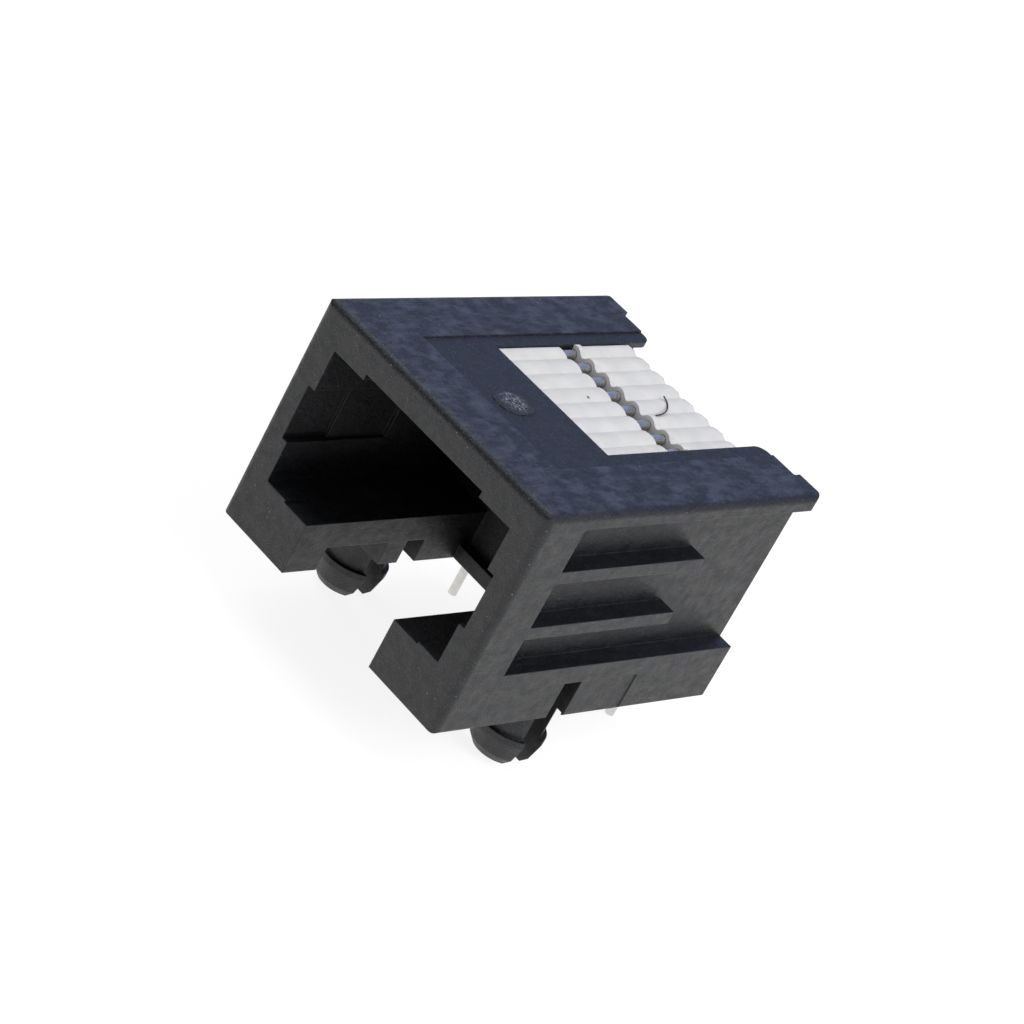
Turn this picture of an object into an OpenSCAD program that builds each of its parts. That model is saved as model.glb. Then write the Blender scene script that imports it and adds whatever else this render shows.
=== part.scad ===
// Eight-way modular jack for a circuit board.
// A low moulded housing with a latch-down plug opening, split snap pegs and
// an open-ended roof window. Two moulded carriers slide into the window and
// hold eight bent wire contacts, whose tails stand in two staggered rows.
// Frame: X to the right seen from the plug side, Y from the plug face to the
// tails, Z up from the board. The origin is midway between the two pegs.

/* [Housing] */
// Width over the face flange
width = 15.04; // [14.6:0.02:16]
// Height above the board
height = 11.24; // [11.2:0.02:12]
// Plug face to the ends of the roof rails
length = 17.3; // [16.8:0.05:20]
// Plug face to the peg centres
peg_setback = 7.54; // [7.2:0.02:8]
// Rounding of the outer edges
edge_radius = 0.37; // [0.25:0.01:0.5]
// How far the side walls and outer rail ends reach past the rails
wall_overrun = 0.4; // [0.1:0.05:0.6]

/* [Sides] */
// Depth of the flange round the plug face
face_flange = 2.5; // [2:0.05:3]
// Depth of the side walls below the flanges
side_recess = 0.9; // [0.7:0.05:0.95]
// Height of the base flange
base_height = 2.89; // [2.8:0.05:3.2]
// Plug face to the rear end of the base flange
base_length = 17.46; // [17:0.02:18]
// Thickness of the roof rails at their edge
rail_thickness = 0.77; // [0.6:0.02:0.9]
// Number of short ribs on each side
rib_count = 2; // [1:1:3]
// Height of the lowest rib's top
rib_first = 5.4; // [4.5:0.05:6]
// Height from one rib to the next
rib_pitch = 2.9; // [1.5:0.1:3]
// Thickness of a rib
rib_thickness = 0.62; // [0.5:0.02:0.9]
// Plug face to the rear ends of the ribs
rib_length = 11.7; // [10:0.05:13]

/* [Plug opening] */
// Height of the opening's floor
floor_height = 2.66; // [2.5:0.02:2.8]
// Height of the opening's ceiling
ceiling_height = 9.52; // [9.4:0.02:9.6]
// Width of the lower part
lower_width = 12.06; // [11.9:0.02:12.1]
// Width of the side reliefs at the face
relief_width = 12.74; // [12.5:0.02:12.8]
// Width of the side reliefs behind the face flange
relief_inner_width = 12.4; // [12.3:0.02:12.5]
// Depth of the side reliefs
relief_depth = 5.9; // [3:0.05:8]
// Lower edge of the side reliefs
relief_bottom = 4.7; // [4.3:0.01:5]
// Upper edge of the side reliefs
relief_top = 7.45; // [7:0.01:7.8]
// Width of the upper part
upper_width = 11.92; // [11.8:0.02:12]
// Width of the contact channel in the ceiling
channel_width = 7.86; // [7.8:0.02:8]
// Height of the contact channel's roof
channel_height = 9.82; // [9.75:0.01:9.9]
// Depth of the plug space
cavity_depth = 11.3; // [11:0.1:12]
// Thickness of the wall behind the plug space
rear_wall = 1; // [0.8:0.1:1.2]
// Width of the shallow trough in the floor
trough_width = 9.4; // [8:0.1:10]
// Depth of the trough
trough_depth = 0.12; // [0.05:0.01:0.2]

/* [Latch slot] */
// Width of the slot for the plug's latch
latch_width = 6.22; // [6:0.02:6.6]
// Plug face to the bar behind the slot
latch_length = 10.66; // [10:0.02:10.8]
// Height of the bar behind the slot
bar_height = 0.7; // [0.5:0.05:1.1]

/* [Underside] */
// Depth of the lips below the floor
lip_depth = 2; // [1.5:0.1:2.3]
// Height of the floor slab's underside
slab_underside = 1.2; // [1:0.05:1.5]
// Thickness of the skirt round the hollows
skirt = 1.15; // [1.1:0.05:1.3]
// Plug face to the legs in front of the pegs
leg_front = 5.8; // [5.5:0.05:6]
// Height of the flexing slit where it cuts the skirt
slit_height = 1.96; // [1.6:0.02:2.2]
// Depth of the shallow panel round the slit
panel_step = 0.04; // [0.02:0.01:0.08]
// Plug face to the rear edge of that panel
panel_length = 11.67; // [11.2:0.01:12.3]

/* [Snap pegs] */
// Distance between the peg centres
peg_spacing = 11.43; // [11.23:0.1:11.63]
// Width of the slit that splits each peg
peg_slit = 1.1; // [0.9:0.05:1.2]
// Diameter of a peg's shaft
peg_diameter = 2.9; // [2.6:0.05:3]
// Diameter over the barbs
barb_diameter = 3.34; // [3.2:0.02:3.4]
// Diameter at the tip's chamfer
nose_diameter = 2.9; // [2.6:0.05:3.1]
// Diameter of the tip
tip_diameter = 2.3; // [1.9:0.05:2.5]
// Thickness of the board
board_thickness = 1.6; // [1.5:0.1:1.7]
// Height of the barbs' straight edge
barb_land = 0.3; // [0.2:0.05:0.4]
// Length of the pegs below the board's top
peg_length = 3.15; // [3:0.05:3.5]
// Depth of the recess round each peg's root
root_depth = 0.1; // [0.05:0.01:0.2]
// How far that recess reaches past the barbs
root_gap = 0.06; // [0.02:0.01:0.08]

/* [Roof window] */
// Width of the window between the rails
window_width = 7.58; // [7.5:0.02:7.7]
// Plug face to the window's front edge
window_front = 7; // [6.5:0.05:7.5]
// Width of the sunken panel round the window
panel_width = 9.1; // [8.6:0.1:9.6]
// Plug face to the sunken panel's front edge
panel_front = 3.05; // [2.8:0.05:3.5]
// Depth of the sunken panel
panel_depth = 0.07; // [0.04:0.01:0.1]
// Radius of the rails' inner rear corners
rail_corner = 0.55; // [0.3:0.05:0.8]
// Diameter of the gate dish in front of the window
gate_diameter = 1.7; // [1.2:0.1:2]

/* [Carrier blocks] */
// Clearance of the blocks in the window and grooves
block_clearance = 0.03; // [0.02:0.01:0.05]
// Length of the front block
front_block_length = 4; // [3.8:0.05:4.2]
// Gap between the blocks
block_gap = 0.95; // [0.8:0.05:1.2]
// Length of the rear block
rear_block_length = 3.7; // [3.4:0.05:3.75]
// Width of the grooves that hold the blocks' flanges
groove_width = 9; // [8.8:0.02:9.1]
// Thickness of the lips over the grooves
groove_lip = 0.27; // [0.22:0.01:0.32]
// Height of the blocks' underside
block_bottom = 9.2; // [9.15:0.01:9.22]
// How far the ridges' crests stay below the sunken panel
crest_drop = 0.06; // [0.02:0.01:0.1]
// Radius of the ridges over the contacts
ridge_radius = 1; // [0.9:0.05:1.4]
// Radius of the hoods at the rear block's face
hood_radius = 0.42; // [0.38:0.01:0.45]
// Length of the hoods
hood_length = 0.3; // [0.2:0.05:0.4]

/* [Contacts] */
// Number of contacts
contact_count = 8; // [8]
// Distance from one contact to the next
contact_pitch = 1.02; // [1:0.01:1.03]
// Diameter of the wire
wire_diameter = 0.43; // [0.4:0.01:0.48]
// Height of the wires through the blocks
wire_height = 10.82; // [10.8:0.01:10.85]
// Plug face to the springs' front bend
spring_front = 3.2; // [3:0.1:4]
// Plug face to the springs' free ends
spring_end = 10.1; // [9.7:0.1:10.2]
// Height of the springs' free ends
spring_drop = 6.3; // [6.1:0.1:6.8]
// Radius of the front bend's centre line
front_bend = 0.42; // [0.35:0.01:0.5]
// Radius of the rear bend's centre line
rear_bend = 0.34; // [0.32:0.01:0.36]
// Plug face to the wires' drop behind the rear block
wire_drop = 16.04; // [16:0.01:16.2]

/* [Tails] */
// Distance from one tail to the next across the jack
tail_pitch = 1.27; // [1.2:0.01:1.3]
// Pegs to the first row of tails
near_row = 6.35; // [6.2:0.05:6.5]
// Distance between the two rows
row_spacing = 2.54; // [2.4:0.02:2.6]
// Length of the tails below the board's top
tail_length = 3.4; // [3:0.1:3.6]
// Height where the wires start to spread
fan_top = 4.6; // [4.4:0.1:5]
// Height where the tails are straight again
fan_bottom = 2; // [1.6:0.1:2.2]

/* [Hidden] */
$fn = 48;
black = [0.13, 0.14, 0.16];
pale_grey = [0.82, 0.83, 0.85];
tinned = [0.78, 0.78, 0.75];
// Overlap that carries a cut clear past a face
past = 0.1;
// Gap round a wire where it is moulded in
moulded_fit = 0.01;
// How far the rounded corners of a bent wire stand proud of it
joint_swell = 0.01;
// Places along Y
face_y = -peg_setback;
rails_y = face_y + length;
walls_y = rails_y + wall_overrun;
flange_y = face_y + face_flange;
cavity_y = face_y + cavity_depth;
back_y = cavity_y + rear_wall;
bar_y = face_y + latch_length;
lip_y = face_y + lip_depth;
legs_front_y = face_y + leg_front;
window_y = face_y + window_front;
front_block_y = window_y + block_clearance;
front_block_end = front_block_y + front_block_length;
rear_block_y = front_block_end + block_gap;
rear_block_end = rear_block_y + rear_block_length;
drop_y = face_y + wire_drop;
// Heights and half widths
half_width = width / 2;
wall_x = half_width - side_recess;
rail_underside = height - rail_thickness;
panel_z = height - panel_depth;
crest_z = panel_z - crest_drop;
groove_top = panel_z - groove_lip;
block_width = window_width - 2 * block_clearance;
wing_width = groove_width - 2 * block_clearance;
keel_width = channel_width - 2 * block_clearance;
inner_wall_x = upper_width / 2;
// Comb that guides the springs' free ends
comb_cover = 0.3;
comb_hang = 0.6;
comb_play = 0.2;
comb_back = 0.2;
comb_y = face_y + spring_end - comb_cover;
comb_bottom = spring_drop - comb_hang;
comb_slot = wire_diameter + comb_play;
// Gate dish and the broken-off stub in it
gate_setback = 4.5;
gate_y = face_y + gate_setback;
gate_depth = 0.1;
gate_slope = 0.2;
gate_stub = 0.6;
gate_stub_rise = 0.06;
// Wire path
wire_r = wire_diameter / 2;
channel_gap = 0.05;
run_z = channel_height - wire_r - channel_gap;
bend_y = face_y + spring_front + front_bend + wire_r;
bend_z = run_z - front_bend;
rise_setback = 1.3;
rise_y = window_y + rise_setback;
// Height of the chamfer round a peg's tip
nose_chamfer = 0.4;
rise_end_y = rise_y + wire_height - run_z;

// ---- helpers -------------------------------------------------------------

// A box between two corners
module block(a, b) {
    translate(a) cube(b - a);
}

// A box that is symmetric about X = 0
module wide_block(full_width, y0, y1, z0, z1) {
    block([-full_width / 2, y0, z0], [full_width / 2, y1, z1]);
}

// What a rounded edge along Z loses, with the corner at the origin
module edge_waste(r, length) {
    translate([0, 0, -past]) linear_extrude(length + 2 * past) difference() {
        translate([-past, -past]) square(r + past);
        translate([r, r]) circle(r);
    }
}

// Both sides of something made for X > 0
module both_sides() {
    children();
    mirror([1, 0, 0]) children();
}

// ---- housing -------------------------------------------------------------

module housing_shell() {
    wide_block(width, face_y, flange_y, 0, height);
    wide_block(width, face_y, rails_y, rail_underside, height);
    wide_block(width, face_y, face_y + base_length, 0, base_height);
    wide_block(2 * wall_x, face_y, walls_y, 0, height - past);
    for (i = [0 : rib_count - 1])
        wide_block(width, flange_y - past, face_y + rib_length,
                   rib_first + i * rib_pitch - rib_thickness, rib_first + i * rib_pitch);
    both_sides() block([inner_wall_x, rails_y - past, rail_underside], [half_width, walls_y, height]);
}

// The outer edges that the mould rounds
module housing_edges() {
    both_sides() {
        // roof edges along the sides
        translate([half_width, face_y, height]) rotate([-90, 0, 0]) mirror([1, 0, 0])
            edge_waste(edge_radius, walls_y - face_y);
        // upright edges of the face
        translate([half_width, face_y, 0]) mirror([1, 0, 0]) edge_waste(edge_radius, height);
        // rear ends of the rails
        translate([half_width, walls_y, rail_underside]) rotate([0, 0, 180])
            edge_waste(edge_radius, rail_thickness);
        // lower front corners of the face flange
        translate([half_width, face_y, 0]) rotate([-90, 0, 0]) mirror([1, 0, 0]) mirror([0, 1, 0])
            edge_waste(edge_radius / 2, base_length);
    }
    // top edge of the face
    translate([-half_width, face_y, height]) rotate([0, 90, 0]) edge_waste(edge_radius, width);
}

module plug_opening() {
    front = face_y - past;
    wide_block(lower_width, front, cavity_y, floor_height, relief_bottom + past);
    wide_block(relief_width, front, flange_y, relief_bottom, relief_top);
    wide_block(relief_inner_width, front, face_y + relief_depth, relief_bottom, relief_top);
    wide_block(upper_width, front, cavity_y, relief_bottom, ceiling_height);
    wide_block(trough_width, front, cavity_y, floor_height - trough_depth, floor_height + past);
    wide_block(channel_width, front, back_y + past, block_bottom - block_clearance, channel_height);
}

// Slot for the plug's latch, open at the face and below
module latch_slot() {
    wide_block(latch_width, face_y - past, bar_y, -past, floor_height + past);
    wide_block(latch_width, face_y - past, cavity_y, bar_height, floor_height + past);
}

// Posts between the springs' free ends
module comb() {
    difference() {
        wide_block(channel_width + past, comb_y, cavity_y + past, comb_bottom, block_bottom - block_clearance);
        for (i = [1 : contact_count]) translate([contact_x(i), 0, 0])
            wide_block(comb_slot, comb_y - past, cavity_y - comb_back, comb_bottom - past, height);
    }
}

// Grooves and window that the two blocks slide into from the rear
module roof_window() {
    wide_block(window_width, window_y, walls_y + past, channel_height - past, height + past);
    wide_block(groove_width, window_y, walls_y + past, channel_height, groove_top);
    wide_block(panel_width, face_y + panel_front, walls_y + past, panel_z, height + past);
    both_sides() translate([window_width / 2, rails_y, groove_top]) rotate([0, 0, -90])
        edge_waste(rail_corner, groove_lip + panel_depth);
    // the rails end short of the side walls
    wide_block(2 * inner_wall_x, rails_y, walls_y + past, 0, height + past);
}

module gate_dish() {
    translate([0, gate_y, panel_z]) difference() {
        translate([0, 0, -gate_depth])
            cylinder(h = gate_depth + past, d1 = gate_diameter - 2 * gate_slope, d2 = gate_diameter);
        translate([0, 0, -gate_depth - past]) cylinder(h = gate_stub_rise + past, d = gate_stub);
    }
}

// Hollows under the floor, between the lips, the legs and the skirt
module underside() {
    slot_x = latch_width / 2;
    skirt_x = half_width - skirt;
    both_sides() {
        block([slot_x - past, lip_y, -past], [skirt_x, legs_front_y, slab_underside]);
        block([slot_x - past, -peg_slit / 2, -past], [half_width + past, peg_slit / 2, slab_underside]);
        block([skirt_x, -peg_slit / 2, -past], [half_width + past, peg_slit / 2, slit_height]);
        block([half_width - panel_step, flange_y, -past],
              [half_width + past, face_y + panel_length, slit_height]);
        translate([peg_spacing / 2, 0, -past])
            cylinder(h = past + root_depth, d = barb_diameter + 2 * root_gap);
    }
    // open space for the wires behind the plug space
    wide_block(2 * inner_wall_x, back_y, walls_y + past, -past, block_bottom - block_clearance);
    wide_block(channel_width, back_y - past, walls_y + past, slab_underside, channel_height + past);
}

// One peg below the board's top, on its own axis
module peg() {
    barb_z = -board_thickness;
    difference() {
        rotate_extrude() polygon([
            [0, root_depth + past], [peg_diameter / 2, root_depth + past], [peg_diameter / 2, barb_z], [barb_diameter / 2, barb_z],
            [barb_diameter / 2, barb_z - barb_land], [nose_diameter / 2, -peg_length + nose_chamfer],
            [tip_diameter / 2, -peg_length], [0, -peg_length]]);
        block([-barb_diameter, -peg_slit / 2, -peg_length - past], [barb_diameter, peg_slit / 2, root_depth + 2 * past]);
    }
}

module housing() {
    color(black) {
        difference() {
            housing_shell();
            housing_edges();
            plug_opening();
            latch_slot();
            roof_window();
            gate_dish();
            underside();
        }
        comb();
        for (side = [-1, 1]) translate([side * peg_spacing / 2, 0, 0]) peg();
    }
}

// ---- carrier blocks --------------------------------------------------------

// A block from one place along Y to another: keel, wings in the grooves and ridged top
module carrier(y0, y1) {
    wide_block(keel_width, y0, y1, block_bottom, channel_height + past);
    wide_block(wing_width, y0, y1, channel_height + block_clearance, groove_top - block_clearance);
    intersection() {
        wide_block(block_width, y0, y1, channel_height + past, height);
        for (i = [1 : contact_count])
            translate([contact_x(i), y0, crest_z - ridge_radius])
                rotate([-90, 0, 0]) cylinder(h = y1 - y0, r = ridge_radius);
    }
}

module front_block() {
    color(pale_grey) difference() {
        carrier(front_block_y, front_block_end);
        for (i = [1 : contact_count]) held_run(i, wire_r + moulded_fit);
    }
}

// Short round hoods where the contacts enter the rear block
module hoods() {
    intersection() {
        wide_block(block_width, rear_block_y, rear_block_end, block_bottom, height + past);
        for (i = [1 : contact_count])
            translate([contact_x(i), rear_block_y, wire_height]) rotate([-90, 0, 0])
                cylinder(h = hood_length, r = hood_radius);
    }
}

module rear_block() {
    color(pale_grey) difference() {
        union() {
            carrier(rear_block_y, rear_block_end);
            hoods();
        }
        for (i = [1 : contact_count]) held_run(i, wire_r + moulded_fit);
    }
}

// ---- contacts --------------------------------------------------------------

// Across the jack: a contact's place in the blocks and its tail's place
function contact_x(i) = (i - (contact_count + 1) / 2) * contact_pitch;
function tail_x(i) = (i - (contact_count + 1) / 2) * tail_pitch;
function tail_y(i) = near_row + (i % 2 == 0 ? row_spacing : 0);

// A straight length of wire between two points
module wire(a, b, r) {
    d = b - a;
    translate(a) rotate([0, acos(d[2] / norm(d)), atan2(d[1], d[0])]) cylinder(h = norm(d), r = r);
}

// A bend in the YZ plane about a centre, from one angle to another
module bend(centre, radius, from, to, r) {
    translate(centre) rotate([90, 0, 90]) rotate([0, 0, from]) rotate_extrude(angle = to - from)
        translate([radius, 0]) circle(r);
}

// A round corner where two lengths of wire meet
module joint(p, r) {
    translate(p) sphere(r + joint_swell);
}

// The stretch of a contact that the two blocks hold
module held_run(i, r) {
    x = contact_x(i);
    foot = [x, rise_y, run_z];
    head = [x, rise_end_y, wire_height];
    wire([x, bend_y, run_z], foot, r);
    joint(foot, r);
    wire(foot, head, r);
    joint(head, r);
    wire(head, [x, drop_y - rear_bend, wire_height], r);
}

// The sloping spring and the bend at its front end
module spring(i) {
    x = contact_x(i);
    tip = [x, face_y + spring_end, spring_drop];
    slope = spring_angle(tip);
    toe = [x, bend_y - front_bend * sin(slope), bend_z - front_bend * cos(slope)];
    wire(tip, toe, wire_r);
    joint(toe, wire_r);
    bend([x, bend_y, bend_z], front_bend, 90, 270 - slope, wire_r);
    joint([x, bend_y, run_z], wire_r);
}

// The rear bend, the spread to the board's hole spacing and the solder tail
module tail(i) {
    x = contact_x(i);
    heel = [x, drop_y, wire_height - rear_bend];
    fork = [x, drop_y, fan_top];
    knee = [tail_x(i), tail_y(i), fan_bottom];
    joint([x, drop_y - rear_bend, wire_height], wire_r);
    bend([x, drop_y - rear_bend, wire_height - rear_bend], rear_bend, 0, 90, wire_r);
    joint(heel, wire_r);
    wire(heel, fork, wire_r);
    joint(fork, wire_r);
    wire(fork, knee, wire_r);
    joint(knee, wire_r);
    wire(knee, [tail_x(i), tail_y(i), -tail_length], wire_r);
}

module contact(i) {
    color(tinned) {
        spring(i);
        held_run(i, wire_r);
        tail(i);
    }
}

// Slope of the spring that leaves the front bend as a tangent and ends at its tip
function spring_angle(tip) =
    let (dy = tip[1] - bend_y, dz = bend_z - tip[2], reach = norm([dy, dz]))
    atan2(dz, dy) - asin(front_bend / reach);

housing();
front_block();
rear_block();
contact(1);  // contact_1
contact(2);  // contact_2
contact(3);  // contact_3
contact(4);  // contact_4
contact(5);  // contact_5
contact(6);  // contact_6
contact(7);  // contact_7
contact(8);  // contact_8
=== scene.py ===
# %% [markdown]
# # A modular jack for a circuit board
# The jack has a low black housing, two light grey carriers in a window of its roof, and eight bent wire
# contacts that end in two rows of solder tails. Its solids come ready made from the construction step.
# Here we dress them, add a torn gate scar and a stray fibre, light them and point a camera at them.
#
# The first cell loads the solids. From then on they stay as they are: we give them materials, and we add
# only what the solids leave out.

# %% Load the solids
import math
import bpy
from mathutils import Matrix, Vector


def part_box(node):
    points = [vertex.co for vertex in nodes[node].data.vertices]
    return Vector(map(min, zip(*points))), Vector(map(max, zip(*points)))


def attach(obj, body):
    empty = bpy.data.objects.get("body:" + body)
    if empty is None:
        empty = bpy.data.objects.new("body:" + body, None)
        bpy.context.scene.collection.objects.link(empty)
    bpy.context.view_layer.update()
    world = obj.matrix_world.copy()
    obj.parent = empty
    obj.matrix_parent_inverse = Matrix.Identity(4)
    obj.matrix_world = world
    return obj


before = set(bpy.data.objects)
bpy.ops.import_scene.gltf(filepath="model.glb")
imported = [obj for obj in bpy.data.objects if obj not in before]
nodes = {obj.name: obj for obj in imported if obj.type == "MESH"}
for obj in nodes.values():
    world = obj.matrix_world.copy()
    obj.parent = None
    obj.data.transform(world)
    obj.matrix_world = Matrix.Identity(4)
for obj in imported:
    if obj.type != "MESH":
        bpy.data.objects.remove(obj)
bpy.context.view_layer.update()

print("Loaded", len(nodes), "solids:", ", ".join(sorted(nodes)))

# %% [markdown]
# ## A ruler
# Blender works in metres and this jack is 17 mm long, so every size below is written in millimetres
# and multiplied by one value. Places come from the boxes of the solids, so that nothing drifts off
# the part when the part changes.

# %% Millimetres and the boxes we measure from
MM = 0.001
housing_low, housing_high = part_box("housing")
rear_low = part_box("rear_block")[0]
front_low, front_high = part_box("front_block")
lowest = min(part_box(name)[0][2] for name in nodes)
print("Housing", [round((b - a) / MM, 2) for a, b in zip(housing_low, housing_high)], "mm")

# %% [markdown]
# ## Helpers for materials
# A material is a small network of nodes. These helpers make the moves that repeat: a new material,
# a noise pattern of a real size, a colour ramp, and a link. Patterns read Object coordinates, which are
# metres on the part itself, so the grain keeps its size and place from every side.

# %% Material helpers
def new_material(name):
    material = bpy.data.materials.new(name)
    material.use_nodes = True
    return material


def place_pattern(material, stretch=(1, 1, 1)):
    tree = material.node_tree
    where = tree.nodes.new("ShaderNodeTexCoord")
    mapping = tree.nodes.new("ShaderNodeMapping")
    mapping.inputs["Scale"].default_value = stretch
    tree.links.new(where.outputs["Object"], mapping.inputs["Vector"])
    return mapping.outputs["Vector"]


def noise(material, vector, size, detail=3.0, roughness=0.5):
    """A noise pattern whose blotches are about size millimetres across."""
    tree = material.node_tree
    node = tree.nodes.new("ShaderNodeTexNoise")
    node.inputs["Scale"].default_value = 1 / (size * MM)
    node.inputs["Detail"].default_value = detail
    node.inputs["Roughness"].default_value = roughness
    tree.links.new(vector, node.inputs["Vector"])
    return node.outputs["Fac"]


def ramp(material, value, stops):
    """Turns a value into a colour or a grey, with (position, colour) stops."""
    tree = material.node_tree
    node = tree.nodes.new("ShaderNodeValToRGB")
    elements = node.color_ramp.elements
    while len(elements) < len(stops):
        elements.new(0.5)
    for element, (position, colour) in zip(elements, stops):
        element.position = position
        element.color = (*colour, 1)
    tree.links.new(value, node.inputs["Fac"])
    return node.outputs["Color"]


def grey(value):
    return (value, value, value)


def mix_colours(material, factor, a, b, way="MIX"):
    tree = material.node_tree
    node = tree.nodes.new("ShaderNodeMix")
    node.data_type = "RGBA"
    node.blend_type = way
    for socket, value in ((node.inputs["Factor"], factor), (node.inputs["A"], a), (node.inputs["B"], b)):
        if hasattr(value, "is_linked"):
            tree.links.new(value, socket)
        else:
            socket.default_value = value
    return node.outputs["Result"]


def bump(material, height, depth, under=None):
    """Raises the surface by up to depth millimetres where height is white."""
    tree = material.node_tree
    node = tree.nodes.new("ShaderNodeBump")
    node.inputs["Strength"].default_value = 1
    node.inputs["Distance"].default_value = depth * MM
    tree.links.new(height, node.inputs["Height"])
    if under is not None:
        tree.links.new(under, node.inputs["Normal"])
    return node.outputs["Normal"]


def soft_edges(material, radius):
    """Rounds the look of every sharp edge by a radius in millimetres."""
    node = material.node_tree.nodes.new("ShaderNodeBevel")
    node.samples = 6
    node.inputs["Radius"].default_value = radius * MM
    return node.outputs["Normal"]


def wire_up(material, socket, value):
    shader = material.node_tree.nodes["Principled BSDF"]
    material.node_tree.links.new(value, shader.inputs[socket])


def settle(material, **values):
    """Sets plain numbers on the shader's own sockets."""
    shader = material.node_tree.nodes["Principled BSDF"]
    for socket, value in values.items():
        shader.inputs[socket.replace("_", " ")].default_value = value


def spot(material, vector, place, radius, ragged=0.0):
    """White within radius millimetres of a place in metres, with an edge as ragged as asked."""
    tree = material.node_tree
    away = tree.nodes.new("ShaderNodeVectorMath")
    away.operation = "DISTANCE"
    away.inputs[1].default_value = place
    tree.links.new(vector, away.inputs[0])
    reach = away.outputs["Value"]
    if ragged:
        push = tree.nodes.new("ShaderNodeMath")
        push.operation = "MULTIPLY_ADD"
        push.inputs[1].default_value = ragged * MM
        tree.links.new(noise(material, vector, radius * 0.4, 3.0), push.inputs[0])
        tree.links.new(reach, push.inputs[2])
        reach = push.outputs["Value"]
    return between(material, reach, (radius + ragged / 2) * MM, (radius * 0.7 + ragged / 2) * MM)


def between(material, value, black, white):
    """Turns a value into a grey from black at one number to white at another."""
    tree = material.node_tree
    node = tree.nodes.new("ShaderNodeMapRange")
    node.inputs["From Min"].default_value = black
    node.inputs["From Max"].default_value = white
    tree.links.new(value, node.inputs["Value"])
    return node.outputs["Result"]


def height_of(material, vector):
    tree = material.node_tree
    parts = tree.nodes.new("ShaderNodeSeparateXYZ")
    tree.links.new(vector, parts.inputs["Vector"])
    return parts.outputs["Z"]


print("Material helpers ready")

# %% [markdown]
# ## The black moulding
# The housing is glass-filled nylon or polyester. Such a moulding is close to black in itself, and nearly
# all that we see of it is its satin gloss: white where it mirrors the floor, blue where it mirrors the sky.
# So its colour stays very dark, except on the roof outside its sunken panel, where a blotchy bluish
# painted reflection of the sky goes into the colour. The melt leaves streaks along its flow, the glass
# fibres leave a fine bright grain, and a few pale dust grains lie on top. Each is a pattern of its own.
# They are layered: colour first, then roughness, then the bumps, on edges that are rounded a little, as every
# mould rounds them.

# %% Black moulding material
roof = housing_high[2]
gate_aside = 0.05 * MM
gate_setback = 4.6 * MM
gate_sink = 0.06 * MM
gate_place = (gate_aside, housing_low[1] + gate_setback, roof - gate_sink)


def black_moulding():
    material = new_material("black_moulding")
    here = place_pattern(material)
    along = place_pattern(material, (1, 0.35, 1))
    cloud = noise(material, here, 1.4, 5.0, 0.65)
    streak = noise(material, along, 0.4, 5.0, 0.7)
    on_roof = between(material, height_of(material, here), roof - 0.06 * MM, roof - 0.01 * MM)
    colour = ramp(material, cloud, [(0.3, (0.0015, 0.0017, 0.0024)), (0.7, (0.0035, 0.004, 0.0055))])
    haze = ramp(material, streak, [(0.40, grey(0.0)), (0.75, grey(1.0))])
    colour = mix_colours(material, haze, colour, (0.007, 0.008, 0.011, 1))
    # Painted reflection: blotches of bluish sky reflection are painted into the colour of the roof top only.
    painted_sky_reflection = mix_colours(material, 0.5, cloud, streak)
    painted_sky_reflection = ramp(material, painted_sky_reflection, [(0.45, grey(0.0)), (0.60, grey(1.0))])
    painted_sky_reflection = mix_colours(material, 1.0, painted_sky_reflection, on_roof, "MULTIPLY")
    colour = mix_colours(material, painted_sky_reflection, colour, (0.040, 0.049, 0.072, 1))
    fibres = ramp(material, noise(material, here, 0.05, 1.0), [(0.62, grey(0.0)), (0.78, grey(1.0))])
    colour = mix_colours(material, fibres, colour, (0.085, 0.094, 0.118, 1))
    dust = ramp(material, noise(material, here, 0.10, 1.0), [(0.77, grey(0.0)), (0.81, grey(1.0))])
    where_dusty = ramp(material, noise(material, here, 2.2, 1.0), [(0.42, grey(0.0)), (0.6, grey(1.0))])
    dust = mix_colours(material, 1.0, dust, where_dusty, "MULTIPLY")
    colour = mix_colours(material, dust, colour, (0.30, 0.32, 0.36, 1))
    wire_up(material, "Base Color", colour)
    gloss = mix_colours(material, 0.5, noise(material, here, 0.5, 4.0), streak)
    wire_up(material, "Roughness", ramp(material, gloss, [(0.38, grey(0.34)), (0.62, grey(0.54))]))
    edges = soft_edges(material, 0.07)
    grain = noise(material, here, 0.09, 3.0, 0.8)
    rough = bump(material, grain, 0.022, edges)
    wave = bump(material, noise(material, here, 0.6, 3.0, 0.6), 0.035, rough)
    wire_up(material, "Normal", bump(material, streak, 0.02, wave))
    settle(material, IOR=1.56)
    return material


housing_skin = black_moulding()
print("Made", housing_skin.name)

# %% [markdown]
# ## The light grey carriers
# The carriers are moulded in a light grey plastic with a soft sheen. Light goes a little way into it, so a
# touch of subsurface scattering keeps the shadows between the ridges warm and open. Faint clouding and a
# fine grain stop it from looking like paint.

# %% Carrier material
speck_place = (-0.21 * MM, front_low[1] + 2.6 * MM, front_high[2])


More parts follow.
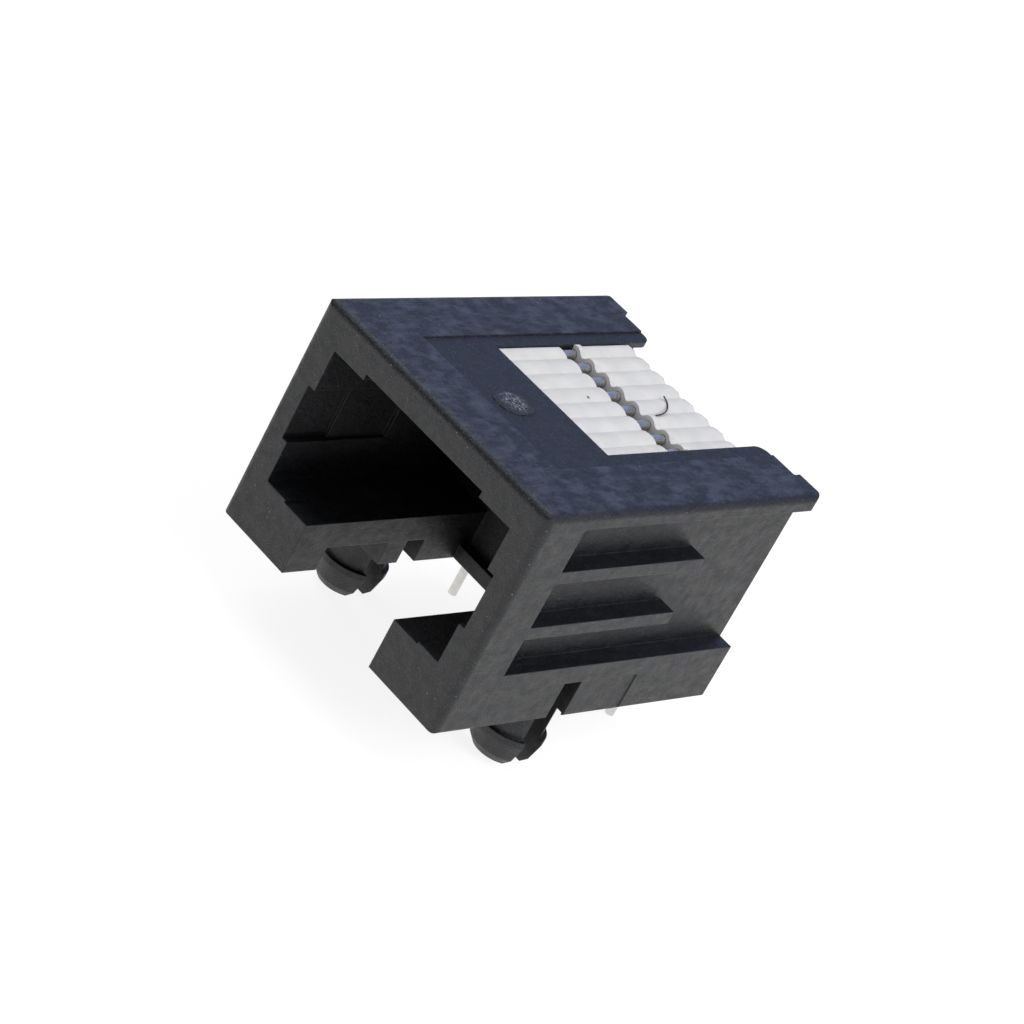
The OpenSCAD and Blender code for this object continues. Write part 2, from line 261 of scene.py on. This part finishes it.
def pale_plastic():
    material = new_material("pale_carrier")
    here = place_pattern(material)
    cloud = noise(material, here, 1.1, 4.0)
    colour = ramp(material, cloud, [(0.3, (0.62, 0.617, 0.617)), (0.7, (0.70, 0.697, 0.697))])
    specks = ramp(material, noise(material, here, 0.09, 1.0), [(0.17, grey(1.0)), (0.2, grey(0.0))])
    colour = mix_colours(material, specks, colour, (0.30, 0.29, 0.28, 1))
    grit = spot(material, here, speck_place, 0.10)
    colour = mix_colours(material, grit, colour, (0.06, 0.055, 0.05, 1))
    wire_up(material, "Base Color", colour)
    gloss = noise(material, here, 0.4, 3.0)
    wire_up(material, "Roughness", ramp(material, gloss, [(0.3, grey(0.36)), (0.7, grey(0.50))]))
    edges = soft_edges(material, 0.04)
    grain = noise(material, here, 0.08, 2.0)
    wire_up(material, "Normal", bump(material, grain, 0.004, edges))
    settle(material, IOR=1.5, Subsurface_Weight=0.05, Subsurface_Scale=0.0002)
    return material


carrier_skin = pale_plastic()
print("Made", carrier_skin.name)

# %% [markdown]
# ## The tinned wire
# The contacts are drawn wire with a tin coat: bright, but not a mirror. Drawing leaves fine lines along the
# wire, and the tin is a little cloudy. The lines are a noise squeezed thin across the wire and stretched
# along it.

# %% Wire material
def tinned_wire():
    material = new_material("tinned_wire")
    here = place_pattern(material)
    lines = place_pattern(material, (1, 0.08, 0.2))
    cloud = noise(material, here, 0.5, 3.0)
    colour = ramp(material, cloud, [(0.3, (0.56, 0.55, 0.53)), (0.7, (0.74, 0.73, 0.70))])
    wire_up(material, "Base Color", colour)
    gloss = noise(material, here, 0.18, 3.0)
    wire_up(material, "Roughness", ramp(material, gloss, [(0.3, grey(0.20)), (0.7, grey(0.34))]))
    drawn = noise(material, lines, 0.05, 2.0)
    wire_up(material, "Normal", bump(material, drawn, 0.003))
    settle(material, Metallic=1.0)
    return material


wire_skin = tinned_wire()
print("Made", wire_skin.name)

# %% [markdown]
# ## Dress the solids
# Each solid keeps its mesh and gets its finish through its material slots.

# %% Give every solid its finish
def dress(name, skin):
    for slot in nodes[name].material_slots:
        slot.material = skin


dress("housing", housing_skin)
dress("front_block", carrier_skin)
dress("rear_block", carrier_skin)
contacts = sorted(name for name in nodes if name.startswith("contact_"))
for name in contacts:
    dress(name, wire_skin)
print("Dressed", len(contacts), "contacts, 2 carriers and the housing")

# %% [markdown]
# ## The gate scar
# The melt entered the mould through one small gate in front of the roof window, and the sprue was torn off
# there. The tear leaves a rough, pale patch in the shallow gate dish. It is a real relief, so we model it: a
# fine sphere is squashed flat, its points are pushed about at random from a fixed seed and smoothed once,
# and it is sunk into the dish so that only the torn top shows.

# %% Gate scar
def torn_plastic():
    material = new_material("torn_plastic")
    here = place_pattern(material)
    crumbs = noise(material, here, 0.12, 4.0, 0.8)
    middle = spot(material, here, gate_place, 0.75, 0.5)
    calm_shades = [(0.3, (0.010, 0.012, 0.018)), (0.7, (0.024, 0.028, 0.042))]
    torn_shades = [(0.46, (0.006, 0.007, 0.009)), (0.54, (0.07, 0.08, 0.11)), (0.62, (0.32, 0.34, 0.42))]
    colour = ramp(material, noise(material, here, 0.3), calm_shades)
    torn = ramp(material, crumbs, torn_shades)
    wire_up(material, "Base Color", mix_colours(material, middle, colour, torn))
    wire_up(material, "Roughness", ramp(material, crumbs, [(0.4, grey(0.40)), (0.6, grey(0.75))]))
    wire_up(material, "Normal", bump(material, crumbs, 0.05))
    settle(material, IOR=1.56)
    return material


def finish_piece(piece, name, skin):
    """Puts a new piece at the origin with its place in its mesh, dressed and riding on the part."""
    bpy.ops.object.transform_apply(location=True, rotation=True, scale=True)
    piece.name = name
    piece.data.materials.clear()
    piece.data.materials.append(skin)
    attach(piece, "root")
    print("Made", name, "with", len(piece.data.polygons), "faces")


bpy.ops.object.select_all(action="DESELECT")
bpy.ops.mesh.primitive_ico_sphere_add(subdivisions=5, radius=MM, location=gate_place)
scar = bpy.context.object
bpy.ops.object.mode_set(mode="EDIT")
bpy.ops.transform.resize(value=(0.90, 1.04, 0.045))
bpy.ops.transform.vertex_random(offset=0.035 * MM, uniform=0.3, normal=0.2, seed=7)
bpy.ops.mesh.vertices_smooth(factor=0.5, repeat=1)
bpy.ops.mesh.normals_make_consistent(inside=False)
bpy.ops.object.mode_set(mode="OBJECT")
bpy.ops.object.shade_smooth_by_angle(angle=math.radians(50))
finish_piece(scar, "gate_scar", torn_plastic())

# %% [markdown]
# ## A stray fibre
# One dark fibre lies across the ridges of the rear carrier. It is a thin bent thread: a small ring of points
# is swept along an arc with the spin tool, which leaves a tube with open ends, and the ends are then filled.
# The arc follows from the two ends and from how far it bows out between them.

# %% Fibre material and its arc
def dark_fibre():
    material = new_material("dark_fibre")
    here = place_pattern(material)
    shade = noise(material, here, 0.05, 3.0)
    shades = [(0.3, (0.02, 0.018, 0.016)), (0.7, (0.07, 0.06, 0.055))]
    wire_up(material, "Base Color", ramp(material, shade, shades))
    wire_up(material, "Roughness", ramp(material, shade, [(0.3, grey(0.45)), (0.7, grey(0.7))]))
    wire_up(material, "Normal", bump(material, shade, 0.004))
    return material


fibre_radius = 0.035 * MM
fibre_sag = 0.35 * MM
ridge_top = front_high[2]
fibre_height = ridge_top + 0.8 * fibre_radius
fibre_start = Vector((1.31 * MM, rear_low[1] + 0.6 * MM, fibre_height))
fibre_end = Vector((0.04 * MM, rear_low[1] + 2.4 * MM, fibre_height))
span = fibre_end - fibre_start
arc_radius = span.length ** 2 / (8 * fibre_sag) + fibre_sag / 2
arc_angle = 2 * math.asin(span.length / 2 / arc_radius)
to_left = Vector((-span.y, span.x, 0)).normalized()
arc_centre = fibre_start + span / 2 + to_left * (arc_radius - fibre_sag)
along_arc = Vector((0, 0, 1)).cross(fibre_start - arc_centre)
print("Fibre spans", round(span.length / MM, 2), "mm on an arc of", round(arc_radius / MM, 2), "mm")

# %% Fibre on the rear carrier
bpy.ops.object.select_all(action="DESELECT")
facing = along_arc.to_track_quat("Z", "Y").to_euler()
bpy.ops.mesh.primitive_circle_add(vertices=8, radius=fibre_radius, location=fibre_start, rotation=facing)
fibre = bpy.context.object
bpy.ops.object.mode_set(mode="EDIT")
bpy.ops.mesh.select_all(action="SELECT")
bpy.ops.mesh.spin(steps=24, angle=-arc_angle, center=arc_centre, axis=(0, 0, 1))
bpy.ops.mesh.select_all(action="SELECT")
bpy.ops.mesh.remove_doubles(threshold=0.0001 * MM)
bpy.ops.mesh.fill_holes(sides=0)
bpy.ops.mesh.select_all(action="SELECT")
bpy.ops.mesh.normals_make_consistent(inside=False)
bpy.ops.object.mode_set(mode="OBJECT")
bpy.ops.object.shade_smooth_by_angle(angle=math.radians(60))
finish_piece(fibre, "stray_fibre", dark_fibre())
far = min((Vector(v.co) - fibre_end).length for v in fibre.data.vertices)
print("Its far end is", round(far / MM, 3), "mm from where it should be")

# %% [markdown]
# ## The floor
# The part stands on a pale floor. To the camera the floor is white paper that keeps a faint shadow, and to
# the part it is a pale sheet that throws light back up. One material does both: its camera side is a weak
# diffuse layer over a white glow, and its other side is plain pale paper.

# %% Rays that look straight at the background
def seen_directly(tree):
    """Is 1 for a ray from the camera and for one that is mirrored or let through, else 0."""
    path = tree.nodes.new("ShaderNodeLightPath")
    total = path.outputs["Is Camera Ray"]
    for kind in ("Is Glossy Ray", "Is Transmission Ray"):
        add = tree.nodes.new("ShaderNodeMath")
        add.operation = "MAXIMUM"
        tree.links.new(total, add.inputs[0])
        tree.links.new(path.outputs[kind], add.inputs[1])
        total = add.outputs["Value"]
    return total


print("Background switch ready")

# %% Floor and its paper
def paper_white():
    material = new_material("paper_white")
    tree = material.node_tree
    tree.nodes.remove(tree.nodes["Principled BSDF"])
    out = tree.nodes["Material Output"]
    paper = tree.nodes.new("ShaderNodeBsdfDiffuse")
    paper.inputs["Color"].default_value = (0.86, 0.86, 0.86, 1)
    thin = tree.nodes.new("ShaderNodeBsdfDiffuse")
    thin.inputs["Color"].default_value = (0.22, 0.22, 0.22, 1)
    glow = tree.nodes.new("ShaderNodeEmission")
    glow.inputs["Strength"].default_value = 0.86
    both = tree.nodes.new("ShaderNodeAddShader")
    tree.links.new(thin.outputs["BSDF"], both.inputs[0])
    tree.links.new(glow.outputs["Emission"], both.inputs[1])
    choose = tree.nodes.new("ShaderNodeMixShader")
    tree.links.new(seen_directly(tree), choose.inputs["Fac"])
    tree.links.new(paper.outputs["BSDF"], choose.inputs[1])
    tree.links.new(both.outputs["Shader"], choose.inputs[2])
    tree.links.new(choose.outputs["Shader"], out.inputs["Surface"])
    return material


bpy.ops.object.select_all(action="DESELECT")
bpy.ops.mesh.primitive_plane_add(size=2.0, location=(0, 0, lowest))
floor = bpy.context.object
floor.name = "floor"
floor.data.materials.append(paper_white())
print("Floor at", round(lowest / MM, 2), "mm")

# %% [markdown]
# ## Light
# A glossy black part shows what stands around it, so the surroundings matter more than the lamps. The sky
# is white to the camera and an even grey as a light. Mirrored in the part it is a dim blue, brightest low
# behind on the left, as from a far window, and dark above the plug side, which draws the dark line along
# the front edge. Two large soft panels, one high on the right and one high on the left, give the plain
# light in which colours come out as they are written.

# %% World
centre = (Vector(housing_low) + Vector(housing_high)) / 2


def pale_sky(window, bright, dark, plain):
    """A plain sky for lighting; mirrored, it is bright towards the window and dark away from it."""
    world = bpy.data.worlds.new("pale_sky")
    world.use_nodes = True
    tree = world.node_tree
    even = tree.nodes["Background"]
    even.inputs["Color"].default_value = (*plain, 1)
    where = tree.nodes.new("ShaderNodeTexCoord")
    towards = tree.nodes.new("ShaderNodeVectorMath")
    towards.operation = "DOT_PRODUCT"
    towards.inputs[1].default_value = Vector(window).normalized()
    tree.links.new(where.outputs["Generated"], towards.inputs[0])
    fade = tree.nodes.new("ShaderNodeValToRGB")
    first, last = fade.color_ramp.elements
    first.position = 0.0
    first.color = (*dark, 1)
    last.position = 0.9
    last.color = (*bright, 1)
    tree.links.new(towards.outputs["Value"], fade.inputs["Fac"])
    mirrored = tree.nodes.new("ShaderNodeBackground")
    tree.links.new(fade.outputs["Color"], mirrored.inputs["Color"])
    white = tree.nodes.new("ShaderNodeBackground")
    path = tree.nodes.new("ShaderNodeLightPath")
    shown = even
    for ray, sky in (("Is Glossy Ray", mirrored), ("Is Camera Ray", white)):
        choose = tree.nodes.new("ShaderNodeMixShader")
        tree.links.new(path.outputs[ray], choose.inputs["Fac"])
        tree.links.new(shown.outputs[0], choose.inputs[1])
        tree.links.new(sky.outputs["Background"], choose.inputs[2])
        shown = choose
    tree.links.new(shown.outputs["Shader"], tree.nodes["World Output"].inputs["Surface"])
    return world


bright_blue = (0.29, 0.36, 0.62)
bpy.context.scene.world = pale_sky((-0.5, 0.74, 0.30), bright_blue, (0.07, 0.08, 0.10), grey(0.5))
print("World", bpy.context.scene.world.name)

# %% Two soft panels
def soft_panel(name, direction, distance, size, power):
    bpy.ops.object.light_add(type="AREA", location=(0, 0, 0))
    panel = bpy.context.object
    panel.name = name
    panel.data.shape = "SQUARE"
    panel.data.size = size
    panel.data.energy = power
    panel.location = centre + Vector(direction).normalized() * distance
    panel.rotation_euler = (centre - panel.location).to_track_quat("-Z", "Y").to_euler()
    return panel


key = soft_panel("key_panel", (0.9, 0.1, 0.9), 0.40, 0.25, 0.95)
fill = soft_panel("top_panel", (-0.7, -0.1, 1.0), 0.45, 0.25, 0.55)
print("Lit by the sky and", key.name, "and", fill.name)

# %% [markdown]
# ## The camera
# The camera looks down on the plug side from the right, and it is rolled, so that the jack stands
# across the picture. We give it its place and its three axes and let a matrix do the turning.

# %% Camera
def add_camera(place, forward, up, lens):
    ahead = Vector(forward).normalized()
    right = ahead.cross(Vector(up)).normalized()
    top = right.cross(ahead)
    bpy.ops.object.camera_add()
    camera = bpy.context.object
    camera.name = "camera"
    turn = Matrix((right, top, -ahead)).transposed().to_4x4()
    camera.matrix_world = Matrix.Translation(Vector(place) * MM) @ turn
    camera.data.lens = lens
    camera.data.sensor_width = 36
    camera.data.clip_start = 0.01
    camera.data.clip_end = 10
    return camera


camera_place = (77.15, -113.49, 73.02)
camera_ahead = (-0.50179, 0.74383, -0.44151)
camera_top = (-0.61477, 0.05239, 0.78697)
camera = add_camera(camera_place, camera_ahead, camera_top, 126.1)
bpy.context.scene.camera = camera
bpy.context.scene.view_settings.view_transform = "Standard"
print("Camera", [round(c / MM, 1) for c in camera.location], "mm, lens", round(camera.data.lens, 1))
